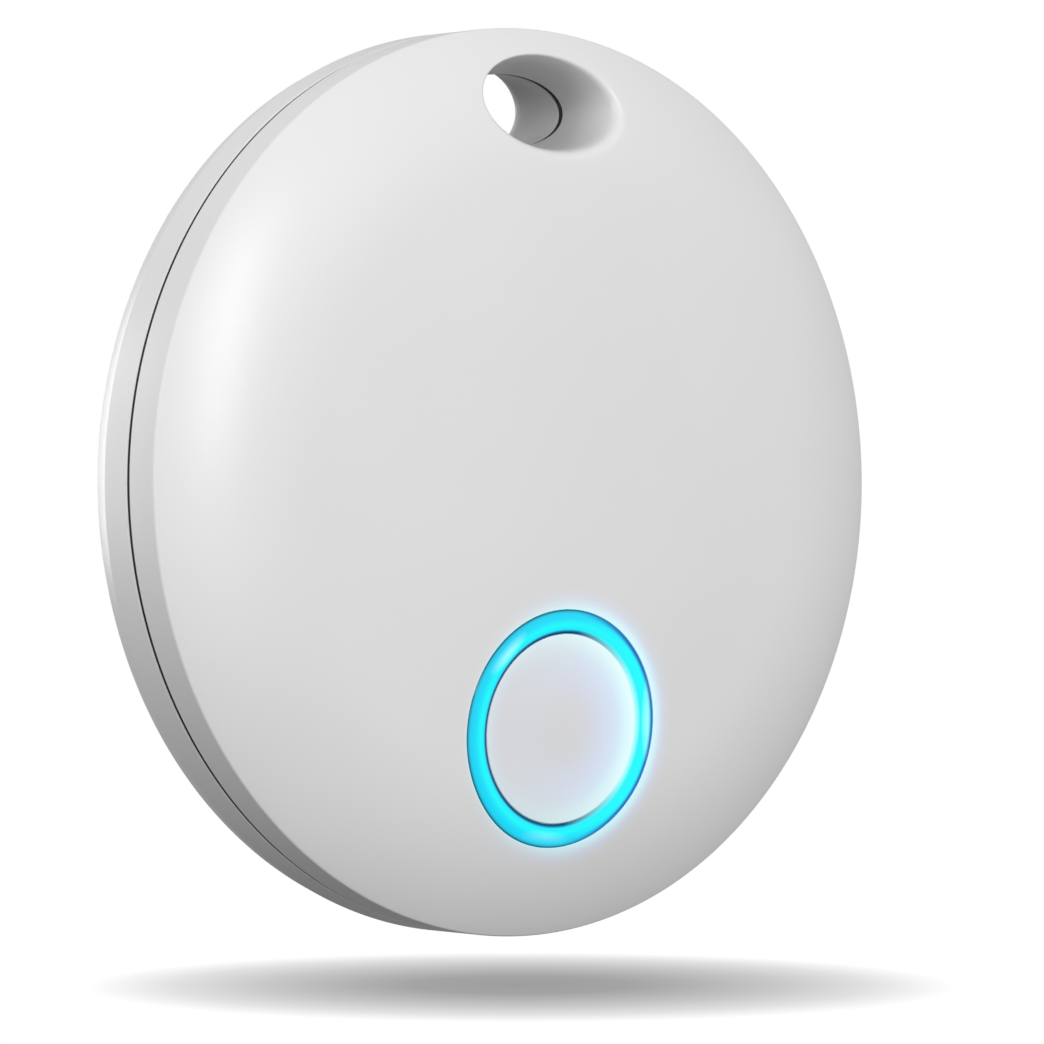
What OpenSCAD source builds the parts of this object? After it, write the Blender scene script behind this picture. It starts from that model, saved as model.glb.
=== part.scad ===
// Round keyring tracker tag: a domed front shell and a flat rear cover closed around a
// coin cell, a circuit board, a buzzer and a lit push button.
//
// The tag hangs from its keyring hole. +Z is up, the domed face looks towards -Y, and the
// origin is the middle of the keyring hole on the parting plane of the two shells.
// Every module is drawn in the tag's own axes, which placed() turns upright: x to the
// right, y up, z out of the domed face, z = 0 on the parting plane, centred on the disc.

/* [Case] */
// Outer diameter of the case
case_d = 38; // [37.6:0.1:39]
// Height of the dome's middle above the parting plane
crown_h = 4.82; // [4.8:0.02:5]
// Radius of the shallow crown of the dome
crown_r = 120; // [118:1:140]
// Distance from the middle at which the crown turns into the shoulder
shoulder_start = 12.92; // [12.5:0.1:13.3]
// Radius of the shoulder of the dome
shoulder_r = 12.56; // [12.5:0.02:12.9]
// Depth of the rear cover below the parting plane
rear_depth = 2.44; // [2.4:0.02:2.6]
// Height of the chamfer around the rear cover, along the side wall
chamfer_h = 0.8; // [0.6:0.05:0.9]
// Width of the chamfer around the rear cover, along the rear face
chamfer_w = 0.2; // [0.1:0.05:0.4]
// Thickness of the domed wall
face_wall = 1; // [0.9:0.05:1.1]
// Thickness of the side wall
side_wall = 1.2; // [1:0.05:1.3]
// Thickness of the rear wall
rear_wall = 1.08; // [1:0.02:1.1]
// Width of the seam between the two shells
seam_gap = 0.2; // [0.15:0.01:0.25]
// Height of the rear cover's spigot above the parting plane
spigot_h = 1; // [0.9:0.05:1.1]
// Gap between the spigot and the front shell
spigot_gap = 0.06; // [0.04:0.01:0.1]

/* [Keyring hole] */
// Distance from the middle of the disc to the middle of the hole
hole_offset = 15.75; // [15.6:0.05:15.9]
// Width of the hole on the parting plane
hole_waist_w = 6.2; // [6:0.1:6.8]
// Height of the hole on the parting plane
hole_waist_h = 3.05; // [2.8:0.05:3.2]
// Width of the flared mouth on the domed face
hole_front_w = 7.4; // [7:0.1:7.5]
// Height of the flared mouth on the domed face
hole_front_h = 4.3; // [3.8:0.05:4.4]
// Width of the mouth on the rear face
hole_rear_w = 5.2; // [5:0.1:6.2]
// Height of the mouth on the rear face
hole_rear_h = 3.7; // [3.2:0.05:3.8]

/* [Button and light] */
// Distance from the middle of the disc down to the middle of the button
button_drop = 10.24; // [10.1:0.02:10.4]
// Outer diameter of the light ring
ring_od = 9.9; // [9.7:0.05:10]
// Inner diameter of the light ring
ring_id = 7.96; // [7.8:0.02:8.1]
// Height of the light ring above the dome
ring_proud = 0.08; // [0.05:0.01:0.12]
// Gap around the button
button_gap = 0.08; // [0.06:0.01:0.1]
// Travel of the button
button_travel = 0.2; // [0.15:0.01:0.2]

/* [Electronics] */
// Diameter of the coin cell
cell_d = 20; // [19.8:0.05:20]
// Height of the coin cell
cell_h = 3.2; // [3.1:0.02:3.2]
// Rear face of the circuit board above the parting plane
board_z = 2; // [2:0.01:2.05]
// Thickness of the circuit board
board_t = 0.5; // [0.4:0.02:0.5]
// Radius of the circuit board
board_r = 15; // [14.8:0.05:15]
// Diameter of the buzzer's brass plate
buzzer_d = 12; // [11.5:0.1:12]

/* [Hidden] */

$fn = 96;
smooth = 720;              // $fn of the large arcs of the case
slack = 0.05;              // gap between neighbouring pieces that don't move
beyond = 1;                // how far a cutter runs past what it cuts

case_r = case_d / 2;
cavity_r = case_r - side_wall;
spigot_r = cavity_r - spigot_gap;
spigot_wall = 1.15;
spigot_in_r = spigot_r - spigot_wall;
floor_z = rear_wall - rear_depth;

// The crown and the shoulder are two arcs that meet tangentially at shoulder_start.
shoulder_angle = asin(shoulder_start / crown_r);
shoulder_x = shoulder_start - shoulder_r * sin(shoulder_angle);
shoulder_z = crown_h - crown_r + (crown_r - shoulder_r) * cos(shoulder_angle);

// A solid boss carries the keyring hole. The spigot and the seal go around it.
boss_half = 1.8;
boss_r = 2.55;

mouth_z = 3.48;            // where the flared mouth meets the domed face
hull_fn = 48;

button_r = ring_id / 2 - button_gap;
flange_w = 0.42;           // width of the button's hidden flange
flange_depth = 0.62;       // depth of the flange's front face under the dome
button_depth = 0.9;       // depth of the button's rear face under the dome
stem_r = 0.5;

foot_r = ring_od / 2 + 0.75;
foot_in_r = button_r + flange_w + 0.15;
foot_depth = 0.6;          // depth of the light ring's foot under the dome
foot_end = 1.15;
recess_depth = 0.5;        // depth of the shell's recess for the foot, under the dome
recess_r = foot_r + 0.1;
foot_clear = 0.1;          // lowest point of the foot above the board

board_top = board_z + board_t;
board_boss_gap = 1.5;
stake_ring_r = 13.2;
stake_angles = [45, 135, 225, 315];
stake_r = 0.6;
stake_head_r = 1.1;
stake_head_h = 0.35;
post_r = 1.3;
post_top = 3.4;
stake_hole_r = stake_r + slack;

cell_r = cell_d / 2;
cell_z = -1.32;            // rear face of the cell
can_t = 0.25;
pad_r = 7.9;
pad_t = 0.25;
pad_recess = 0.25;

frame_in_r = cell_r + 0.25;
frame_out_r = 16.3;
frame_z = -0.9;
frame_wall = 0.8;
frame_plate = 0.6;
frame_boss_gap = 1.5;
rib_count = 12;
rib_w = 0.6;

notch_w = 6;
notch_h = 0.6;
notch_depth = 0.8;

gasket_inset = 0.05;       // how far the seam gasket's edge stands back from the case's side
gasket_mouth = 0.1;        // and from the wall of the keyring hole
gasket_clear = 0.03;

seal_z = 0.34;
seal_h = 0.42;
seal_w = 0.42;
seal_gap = 0.02;

buzzer_y = 2;
buzzer_z = 3.3;            // front face of the brass plate
plate_t = 0.1;
ceramic_r = 4.4;
ceramic_t = 0.1;
ledge_w = 0.7;
glue_t = 0.08;
ledge_top = 3.9;

switch_w = 3;
switch_d = 2.6;
switch_base_h = 0.32;
snap_r = 1.1;
snap_h = 0.16;
snap_t = 0.06;
snap_sphere_r = (snap_r * snap_r + snap_h * snap_h) / (2 * snap_h);
snap_recess = 0.12;
plunger_r = 0.6;
plunger_flange_r = 0.85;
plunger_z = board_top + 0.44;
plunger_flange_h = 0.06;
plunger_h = 0.22;
switch_frame_t = 0.06;
// The pressed button stops just short of the switch.
switch_top = crown_h - pow(button_drop + switch_d / 2, 2) / (2 * crown_r) - button_depth
    - button_travel - slack;
switch_frame_z = switch_top - switch_frame_t;

led_size = [1, 0.5, 0.4];
led_ring_r = 4.9;
led_angles = [35, 145, 215, 325];
led_pocket = [1.3, 0.8, 0.52];

leaf_t = 0.08;
contact_half = 1.5;        // half the width of the side leaf
contact_gap = 0.3;         // room behind and beside it
contact_x = -cell_r - contact_gap;
slot_reach = 2;
slot_over = 0.4;

chip_h = 0.5;
small_chip_h = 0.45;
crystal_h = 0.4;
capacitor = [0.5, 1, 0.4];
resistor = [1, 0.5, 0.3];

can_h = cell_h - 0.25;
can_fillet = 0.4;
crimp_r = 9.25;
cap_r = 8.6;
cap_flange_r = 9.1;
cap_low = 2.2;
gasket_h = 0.7;
cathode_r = 9.4;
cathode_h = 1.3;
separator_t = 0.08;
anode_r = 8.2;
anode_h = 1.18;

white = "#f1f2f4";
steel = "#c4c6c9";
gold = "#d8b45a";

// ---------- frame and outlines ----------

// From the tag's own axes to the upright part.
module placed() {
    translate([0, 0, -hole_offset]) rotate([90, 0, 0]) children();
}

module at_button() {
    translate([0, -button_drop, 0]) children();
}

// Half outline of the dome, moved inwards by depth.
module dome_profile(depth) {
    turn = shoulder_x + (shoulder_r - depth) * sin(shoulder_angle);
    intersection() {
        translate([0, crown_h - crown_r]) circle(r = crown_r - depth, $fn = smooth);
        translate([0, -rear_depth]) square([turn, crown_h + rear_depth + beyond]);
    }
    intersection() {
        translate([shoulder_x, shoulder_z]) circle(r = shoulder_r - depth, $fn = smooth);
        translate([turn, -rear_depth]) square([case_r - turn, crown_h + rear_depth + beyond]);
    }
}

// Everything under the dome surface, moved inwards by depth.
module under_dome(depth) {
    rotate_extrude($fn = smooth / 4) dome_profile(depth);
}

// Everything below height z.
module below(z) {
    translate([-case_r, -case_r, z - case_d]) cube([case_d, case_d, case_d]);
}

module disc(r, z, h) {
    translate([0, 0, z]) cylinder(r = r, h = h);
}

module tube(r_in, r_out, z, h) {
    translate([0, 0, z]) linear_extrude(h) difference() {
        circle(r = r_out);
        circle(r = r_in);
    }
}

// Outline of the boss around the keyring hole, grown by margin.
module boss_outline(margin) {
    reach = boss_r + margin;
    translate([0, hole_offset]) {
        for (side = [-1, 1]) translate([side * boss_half, 0]) circle(r = reach);
        translate([-boss_half, -reach]) square([2 * boss_half, reach + case_r]);
        translate([-boss_half - reach, 0]) square([2 * (boss_half + reach), case_r]);
    }
}

// Circle with the boss cut out of it.
module inner_outline(r, margin) {
    difference() {
        circle(r = r, $fn = smooth / 2);
        boss_outline(margin);
    }
}

// Band that follows the case wall and goes around the boss.
module closed_band(r_out, margin, width) {
    difference() {
        inner_outline(r_out, margin);
        inner_outline(r_out - width, margin + width);
    }
}

module oval_plate(w, h, z) {
    translate([0, hole_offset, z]) scale([w / 2, h / 2, 1])
        cylinder(r = 1, h = leaf_t, $fn = hull_fn);
}

// The hole is an oval that widens towards the mouth at height z.
module hole_cutter(mouth_w, mouth_h, z) {
    past = (abs(z) + beyond) / abs(z);
    hull() {
        oval_plate(hole_waist_w, hole_waist_h, 0);
        oval_plate(hole_waist_w + (mouth_w - hole_waist_w) * past,
                   hole_waist_h + (mouth_h - hole_waist_h) * past, z * past);
    }
}

// ---------- case ----------

module board_posts() {
    for (a = stake_angles) rotate(a) translate([stake_ring_r, 0, 0]) {
        disc(post_r, board_top, post_top - board_top);
        disc(stake_r, board_z - frame_plate - stake_head_h / 2, board_t + frame_plate + 1);
        disc(stake_head_r, board_z - frame_plate - stake_head_h, stake_head_h);
    }
}

module front_shell() {
    color(white) placed() difference() {
        union() {
            difference() {
                under_dome(0);
                below(seam_gap / 2);
                intersection() {
                    under_dome(face_wall);
                    linear_extrude(2 * crown_h, center = true) inner_outline(cavity_r, 0);
                }
            }
            board_posts();
            translate([0, buzzer_y, 0])
                tube(buzzer_d / 2 - ledge_w, buzzer_d / 2, buzzer_z + glue_t,
                     ledge_top - buzzer_z - glue_t);
        }
        at_button() disc(ring_od / 2 + slack, 0, 2 * crown_h);
        intersection() {
            under_dome(recess_depth);
            at_button() disc(recess_r, board_top - foot_clear, crown_h);
        }
        hole_cutter(hole_front_w, hole_front_h, mouth_z);
    }
}

module rear_cover() {
    color(white) placed() difference() {
        union() {
            rotate_extrude($fn = smooth / 4) polygon([
                [0, -rear_depth], [case_r - chamfer_w, -rear_depth],
                [case_r, chamfer_h - rear_depth], [case_r, -seam_gap / 2], [0, -seam_gap / 2]
            ]);
            translate([0, 0, -seam_gap]) linear_extrude(spigot_h + seam_gap)
                closed_band(spigot_r, spigot_gap, spigot_wall);
        }
        translate([0, 0, floor_z]) linear_extrude(rear_depth + spigot_h)
            inner_outline(spigot_in_r, spigot_gap + spigot_wall);
        disc(pad_r + slack, floor_z - pad_recess, rear_depth);
        translate([0, 0, seal_z - slack]) linear_extrude(seal_h + 2 * slack)
            closed_band(cavity_r, 0, seal_w + seal_gap + slack);
        pry_notch();
        hole_cutter(hole_rear_w, hole_rear_h, -rear_depth);
    }
}

// The notch where a fingernail or a coin lifts the rear cover.
module pry_notch() {
    translate([case_r - notch_depth, -notch_w / 2, -seam_gap / 2 - notch_h])
        cube([beyond + notch_depth, notch_w, notch_h + seam_gap]);
}

// Thin gasket on the rear cover's rim that shows as a dark line along the seam.
module seam_gasket() {
    color("#17181a") placed() difference() {
        translate([0, 0, -seam_gap / 2]) linear_extrude(seam_gap - gasket_clear) difference() {
            circle(r = case_r - gasket_inset, $fn = smooth / 2);
            inner_outline(spigot_r + slack, spigot_gap - slack);
            translate([0, hole_offset])
                scale([hole_waist_w / 2 + gasket_mouth, hole_waist_h / 2 + gasket_mouth])
                    circle(r = 1, $fn = hull_fn);
        }
        pry_notch();
    }
}

module cover_seal() {
    color("#8d9299") placed() translate([0, 0, seal_z]) linear_extrude(seal_h)
        closed_band(cavity_r - seal_gap, seal_gap, seal_w);
}

module battery_pad() {
    color("#3a3d42") placed() disc(pad_r, floor_z - pad_recess, pad_t);
}

module battery_frame() {
    plate_z = board_z - frame_plate;
    color("#dfe1e4") placed() difference() {
        union() {
            translate([0, 0, plate_z]) linear_extrude(frame_plate) difference() {
                inner_outline(frame_out_r, frame_boss_gap);
                circle(r = frame_in_r);
            }
            tube(frame_in_r, frame_in_r + frame_wall, frame_z, board_z - frame_z);
            translate([0, 0, frame_z]) linear_extrude(board_z - frame_z)
                closed_band(frame_out_r, frame_boss_gap, frame_wall);
            translate([0, 0, frame_z]) linear_extrude(board_z - frame_z) intersection() {
                difference() {
                    inner_outline(frame_out_r, frame_boss_gap);
                    circle(r = frame_in_r + frame_wall / 2);
                }
                for (i = [0 : rib_count - 1]) rotate((i + 1 / 2) * 360 / rib_count)
                    translate([0, -rib_w / 2]) square([case_r, rib_w]);
            }
        }
        for (a = stake_angles) rotate(a) translate([stake_ring_r, 0, 0]) {
            disc(stake_hole_r, frame_z - beyond, crown_h + beyond);
            disc(stake_head_r + slack, frame_z - beyond, plate_z - frame_z + beyond);
        }
        contact_slot();
    }
}

// ---------- button and light ----------

module light_ring() {
    color("#28dcf5") placed() difference() {
        union() {
            intersection() {
                under_dome(-ring_proud);
                at_button() disc(ring_od / 2, board_top + foot_clear, crown_h);
            }
            intersection() {
                under_dome(foot_depth);
                at_button() disc(foot_r, board_top + foot_clear, crown_h);
            }
        }
        under_dome(foot_end);
        at_button() disc(ring_id / 2, 0, 2 * crown_h);
        intersection() {
            under_dome(flange_depth - slack);
            at_button() disc(foot_in_r, 0, crown_h);
        }
        at_leds() translate([0, 0, led_pocket.z / 2]) cube(led_pocket, center = true);
    }
}

module ring_adhesive() {
    color("#c9cfd6") placed() difference() {
        intersection() {
            under_dome(recess_depth);
            at_button() disc(foot_r - slack, board_top + foot_clear, crown_h);
        }
        under_dome(foot_depth);
        at_button() disc(ring_od / 2 + 2 * slack, 0, 2 * crown_h);
    }
}

module button_cap() {
    stem_z = plunger_z + plunger_h + slack / 5;
    color(white) placed() union() {
        difference() {
            union() {
                intersection() {
                    under_dome(0);
                    at_button() disc(button_r, board_top, crown_h);
                }
                intersection() {
                    under_dome(flange_depth);
                    at_button() disc(button_r + flange_w, board_top, crown_h);
                }
            }
            under_dome(button_depth);
        }
        at_button() disc(stem_r, stem_z, crown_h - button_depth - stem_z);
    }
}

// ---------- switch ----------

module switch_base() {
    color("#2b2d31") placed() at_button() difference() {
        translate([-switch_w / 2, -switch_d / 2, board_top]) cube([switch_w, switch_d, switch_base_h]);
        disc(snap_r + slack, board_top + switch_base_h - snap_recess, beyond);
    }
}

module switch_dome() {
    rest_z = board_top + switch_base_h - snap_recess;
    color(steel) placed() at_button() intersection() {
        translate([0, 0, rest_z + snap_h - snap_sphere_r]) difference() {
            sphere(r = snap_sphere_r + snap_t);
            sphere(r = snap_sphere_r);
        }
        disc(snap_r, rest_z, beyond);
    }
}

module switch_plunger() {
    color("#2b2d31") placed() at_button() {
        disc(plunger_flange_r, plunger_z, plunger_flange_h);
        disc(plunger_r, plunger_z, plunger_h);
    }
}

module switch_frame() {
    leg_w = 0.4;
    color(steel) placed() at_button() difference() {
        union() {
            translate([-switch_w / 2, -switch_d / 2, switch_frame_z])
                cube([switch_w, switch_d, switch_frame_t]);
            for (side = [-1, 1]) translate([side * (switch_w + leaf_t) / 2, 0,
                                            (board_top + switch_frame_z + switch_frame_t) / 2])
                cube([leaf_t, switch_d - 2 * leg_w, switch_frame_z + switch_frame_t - board_top],
                     center = true);
        }
        disc(plunger_r + slack, board_top, crown_h);
    }
}

// ---------- board ----------

module circuit_board() {
    color("#1f6b46") placed() translate([0, 0, board_z]) linear_extrude(board_t) difference() {
        inner_outline(board_r, board_boss_gap);
        for (a = stake_angles) rotate(a) translate([stake_ring_r, 0]) circle(r = stake_hole_r);
    }
}

// A block standing on the front face of the board.
module on_board(x, y, size, turn = 0) {
    translate([x, y, board_top]) rotate(turn)
        translate([-size.x / 2, -size.y / 2, 0]) cube(size);
}

module bluetooth_chip() {
    color("#26282c") placed() on_board(-9.4, 2.2, [4, 4, chip_h]);
}

module driver_chip() {
    color("#26282c") placed() on_board(8.6, -2.4, [2, 2, small_chip_h]);
}

module radio_crystal() {
    color(steel) placed() on_board(-9.6, -1.4, [2, 1.6, crystal_h]);
}

module clock_crystal() {
    color(steel) placed() on_board(-9.4, -3.6, [1.6, 1, crystal_h]);
}

module chip_antenna() {
    antenna_r = 12.3;
    antenna_angle = 20;
    color("#e9e6dc") placed()
        on_board(antenna_r * cos(antenna_angle), antenna_r * sin(antenna_angle), [1.6, 3.2, crystal_h],
                 antenna_angle);
}

module capacitors() {
    pitch = 1.3;
    color("#b08a5e") placed() {
        for (i = [0 : 3]) on_board(-10.6 + pitch * i, 5.4, capacitor);
        for (i = [0 : 2]) on_board(7.2 + pitch * i, 0.7, capacitor);
        for (i = [0 : 1]) on_board(-6.8, -0.6 - 2 * pitch * i, capacitor);
    }
}

module resistors() {
    pitch = 1.1;
    color("#2f3136") placed() {
        for (i = [0 : 2]) on_board(-7.6, -5.4 - pitch * i, resistor);
        for (i = [0 : 1]) on_board(7.4, -7.2 - pitch * i, resistor);
        for (i = [0 : 1]) on_board(10.9, -1.8 - pitch * i, resistor);
    }
}

module buzzer_coil() {
    color("#5b5e63") placed() on_board(8.8, -5.2, [2, 1.6, small_chip_h]);
}

module at_leds() {
    at_button() for (a = led_angles) rotate(a) translate([led_ring_r, 0, board_top]) rotate(90)
        children();
}

module ring_leds() {
    color("#f4f0d8") placed() at_leds() translate([0, 0, led_size.z / 2])
        cube(led_size, center = true);
}

module test_pads() {
    pad_pitch = 1.5;
    pads_y = 7;
    pad_h = 0.03;
    color(gold) placed() for (i = [-2 : 2])
        translate([i * pad_pitch, pads_y, 0]) disc(pad_pitch / 3, board_z - pad_h, pad_h);
}

// Flat three-armed leaf that the cell's cap rests on.
module negative_contact() {
    arm_l = 5;
    arm_w = 1.2;
    color(gold) placed() translate([0, 0, board_z - leaf_t]) linear_extrude(leaf_t) {
        circle(r = arm_w);
        for (a = [90, 210, 330]) rotate(a) {
            translate([0, -arm_w / 2]) square([arm_l, arm_w]);
            translate([arm_l, 0]) circle(r = arm_w / 2);
        }
    }
}

module contact_slot() {
    translate([contact_x - slot_reach, -contact_half - contact_gap, frame_z - beyond])
        cube([slot_reach + slot_over, 2 * (contact_half + contact_gap), crown_h + beyond]);
}

// Side leaf with a foot on the board and a ridge that touches the cell's can.
module positive_contact() {
    leaf_low = -0.6;
    foot_l = 1.4;
    ridge_r = 0.25;
    color(gold) placed() rotate([90, 0, 0])
        linear_extrude(2 * contact_half, center = true) {
            translate([contact_x - leaf_t, leaf_low]) square([leaf_t, board_z - leaf_low]);
            translate([contact_x - foot_l, board_z - leaf_t]) square([foot_l, leaf_t]);
            intersection() {
                translate([contact_x, 0]) circle(r = ridge_r);
                translate([contact_x - leaf_t / 2, -ridge_r]) square([ridge_r * 2, ridge_r * 2]);
            }
        }
}

// ---------- buzzer ----------

module buzzer_plate() {
    color("#cfa64c") placed() translate([0, buzzer_y, 0])
        disc(buzzer_d / 2, buzzer_z - plate_t, plate_t);
}

module buzzer_ceramic() {
    color("#e6e4de") placed() translate([0, buzzer_y, 0])
        disc(ceramic_r, buzzer_z - plate_t - ceramic_t, ceramic_t);
}

module buzzer_adhesive() {
    color("#c9cfd6") placed() translate([0, buzzer_y, 0])
        tube(buzzer_d / 2 - ledge_w + slack, buzzer_d / 2 - slack, buzzer_z, glue_t);
}

// C-shaped leaf from the board up to height h.
module leaf_spring(h) {
    leaf_l = 1.5;
    leaf_w = 0.8;
    rotate([90, 0, 0]) linear_extrude(leaf_w, center = true) polygon([
        [0, 0], [leaf_l, 0], [leaf_l, leaf_t], [leaf_t, leaf_t],
        [leaf_t, h - leaf_t], [leaf_l, h - leaf_t], [leaf_l, h], [0, h]
    ]);
}

module buzzer_springs() {
    ceramic_h = buzzer_z - plate_t - ceramic_t - board_top;
    color(gold) placed() {
        translate([-2.5, buzzer_y, board_top]) leaf_spring(ceramic_h);
        translate([5.8, buzzer_y + 1, board_top]) rotate(180) leaf_spring(ceramic_h + ceramic_t);
    }
}

// ---------- coin cell ----------

// A turned piece of the cell, with heights counted from the cell's rear face.
module turned() {
    translate([0, 0, cell_z]) rotate_extrude() children();
}

module battery_can() {
    color(steel) placed() turned() difference() {
        union() {
            square([cell_r - can_fillet, can_h]);
            translate([0, can_fillet]) square([cell_r, can_h - can_fillet]);
            translate([cell_r - can_fillet, can_fillet]) circle(r = can_fillet);
        }
        translate([0, can_t]) square([cell_r - can_t, can_h - 2 * can_t]);
        translate([0, can_t]) square([crimp_r, cell_h]);
    }
}

module battery_gasket() {
    color("#1c1d20") placed() turned() difference() {
        union() {
            translate([cap_r, cap_low - can_t]) square([cell_r - can_t - slack - cap_r, gasket_h]);
            translate([cap_r + slack / 2, cap_low]) square([crimp_r - slack - cap_r, gasket_h]);
        }
        translate([cap_r - can_t, cap_low - slack / 2])
            square([cap_flange_r - cap_r + can_t + slack / 2, can_t + slack]);
    }
}

module battery_cap() {
    color(steel) placed() turned() {
        translate([0, cell_h - can_t]) square([cap_r, can_t]);
        translate([cap_r - can_t, cap_low]) square([can_t, cell_h - cap_low]);
        translate([cap_r - can_t, cap_low]) square([cap_flange_r - cap_r + can_t, can_t]);
    }
}

module battery_cathode() {
    color("#2e2f31") placed() turned() translate([0, can_t + slack / 2])
        square([cathode_r, cathode_h]);
}

module battery_separator() {
    color("#e8e8e8") placed() turned() translate([0, can_t + cathode_h + slack])
        square([cathode_r, separator_t]);
}

module battery_anode() {
    color("#a9abad") placed() turned() translate([0, can_t + cathode_h + separator_t + 2 * slack])
        square([anode_r, anode_h]);
}

front_shell();
rear_cover();
seam_gasket();
cover_seal();
battery_pad();
battery_frame();
light_ring();
ring_adhesive();
button_cap();
switch_base();
switch_dome();
switch_plunger();
switch_frame();
circuit_board();
bluetooth_chip();
driver_chip();
radio_crystal();
clock_crystal();
chip_antenna();
capacitors();
resistors();
buzzer_coil();
ring_leds();
test_pads();
negative_contact();
positive_contact();
buzzer_plate();
buzzer_ceramic();
buzzer_adhesive();
buzzer_springs();
battery_can();
battery_gasket();
battery_cap();
battery_cathode();
battery_separator();
battery_anode();
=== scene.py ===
"""A round keyring tracker tag with a lit push button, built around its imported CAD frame.

Shapes are worked out in the tag's own axes, as in the CAD: x to the right, y up, z out of the
domed face, in millimetres, counted from the middle of the disc on the parting plane.
"""
from math import acos, asin, cos, pi, radians, sin

import bmesh
import bpy
import numpy as np
from mathutils import Matrix, Vector
from mathutils.geometry import delaunay_2d_cdt


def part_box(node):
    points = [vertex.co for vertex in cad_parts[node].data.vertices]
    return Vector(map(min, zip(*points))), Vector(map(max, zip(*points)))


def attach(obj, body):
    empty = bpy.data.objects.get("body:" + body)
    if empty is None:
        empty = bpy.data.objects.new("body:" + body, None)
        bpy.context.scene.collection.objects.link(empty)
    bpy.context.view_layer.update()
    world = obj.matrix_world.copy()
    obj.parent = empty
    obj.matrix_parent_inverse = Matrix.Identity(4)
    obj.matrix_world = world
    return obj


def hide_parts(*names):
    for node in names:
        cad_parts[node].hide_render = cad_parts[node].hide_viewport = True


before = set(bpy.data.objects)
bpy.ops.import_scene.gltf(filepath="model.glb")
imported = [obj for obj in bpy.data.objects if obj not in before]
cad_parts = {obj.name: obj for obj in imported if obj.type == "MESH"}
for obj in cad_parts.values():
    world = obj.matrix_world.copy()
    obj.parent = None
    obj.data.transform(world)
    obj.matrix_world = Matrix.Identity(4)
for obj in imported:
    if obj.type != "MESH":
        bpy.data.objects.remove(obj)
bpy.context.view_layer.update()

MM = 0.001

# ---------- sizes, in mm ----------

shell_low, shell_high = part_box("front_shell")
_, cover_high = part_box("rear_cover")
button_low, button_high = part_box("button_cap")
CASE_R = (shell_high.x - shell_low.x) / 2 / MM
HOLE_Y = -(shell_low.z + shell_high.z) / 2 / MM
CROWN_H = -shell_low.y / MM
REAR_Z = -cover_high.y / MM
BUTTON_Y = (button_low.z + button_high.z) / 2 / MM + HOLE_Y

# The dome: a shallow crown that turns into a tighter shoulder.
CROWN_R = 120.0
SHOULDER_START = 12.92
SHOULDER_R = 12.56
SHOULDER_ANGLE = asin(SHOULDER_START / CROWN_R)
SHOULDER_X = SHOULDER_START - SHOULDER_R * sin(SHOULDER_ANGLE)
SHOULDER_Z = CROWN_H - CROWN_R + (CROWN_R - SHOULDER_R) * cos(SHOULDER_ANGLE)

FACE_WALL = 1.0
REAR_WALL = 1.08
CAVITY_R = CASE_R - 1.2
SEAM = 0.1                 # half the gap between the shells
EDGE = 0.03                # chamfer of the edges along the seam
RIM_ROUND = 0.16           # rounding between the dome and the side wall
CHAMFER = (0.2, 0.8)       # width and height of the rear cover's chamfer
CHAMFER_ROUND = 0.06
NOTCH = (0.8, 6.0, 0.6)    # depth, width and height of the pry notch
CUT_PAST = 0.5             # how far the notch's cutter reaches past the rim

# The rear cover's spigot, which runs around the keyring hole's boss and has a groove for the seal.
BOSS_HALF = 1.8            # half the length of the boss's straight sides
BOSS_R = 2.55
SPIGOT_GAP = 0.06
SPIGOT_R = CAVITY_R - SPIGOT_GAP
SPIGOT_WALL = 1.15
SPIGOT_TOP = 1.0
SPIGOT_EDGE = 0.1          # chamfers along its top
SPIGOT_LEAD = 0.12         # height of the outer one
GROOVE_LOW, GROOVE_HIGH, GROOVE_DEPTH = 0.29, 0.81, 0.4
PAD_R = 7.95
PAD_RECESS = 0.25

# The keyring hole: width, height and rise of its middle at the seam and at the two mouths.
HOLE_WAIST = (6.18, 3.04, -0.07)
HOLE_FRONT = (7.36, 4.34, 0.0)
HOLE_REAR = (5.1, 3.85, 0.12)
FRONT_FILLET = (0.42, 0.15, -0.27)    # its mean, and how much larger it is to the right and the top
REAR_FILLET = 0.25
FILLET_ON_FACE = 0.35      # how far it reaches to each side of the mouth, as a share of its size
FILLET_ON_WALL = 1.2       # how far it reaches into the hole, as a share of its size
FILLET_MOST = 0.7          # but not over this share of the wall
SEAM_STEP = (1.5, 0.06)    # step that widens the seam in the hole: height in seams, and depth

# The button's opening, the light ring and the button. Heights count from the dome.
RING_OUT = 4.96
RING_IN = 3.98
RING_PROUD = 0.09
RING_SUNK = 0.03           # how far the ring's edges lie under the dome
RING_GAP = 0.015
RING_FOOT = ((4.47, -0.57), (5.7, -0.6), -1.15)    # inner and outer step, and its underside
LIP = 0.5                  # thickness of the lip that holds the ring's foot
RECESS_R = 5.8
BUTTON_R = 3.95
BUTTON_ROUND = 0.05
BUTTON_FLANGE = (0.42, -0.62, -0.9)   # how far it stands out, its top and its underside

RIM_STEPS = 360
HOLE_STEPS = 144
BUTTON_STEPS = 160


def row(x, y, z):
    """From the tag's axes in mm to the frame's, in metres."""
    return Vector((x, -z, y - HOLE_Y)) * MM


def dome(x, y, depth=0.0):
    """Height of the domed face, or of the surface that lies depth under it."""
    r = np.hypot(x, y)
    turn = SHOULDER_X + (SHOULDER_R - depth) * sin(SHOULDER_ANGLE)
    crown = CROWN_H - CROWN_R + np.sqrt((CROWN_R - depth) ** 2 - r ** 2)
    drop = np.maximum((SHOULDER_R - depth) ** 2 - (r - SHOULDER_X) ** 2, 0)
    shoulder = SHOULDER_Z + np.sqrt(drop)
    return np.where(r < turn, crown, shoulder)


def flat(z):
    """A level surface."""
    return lambda x, y: np.full(np.shape(x), z)


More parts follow.
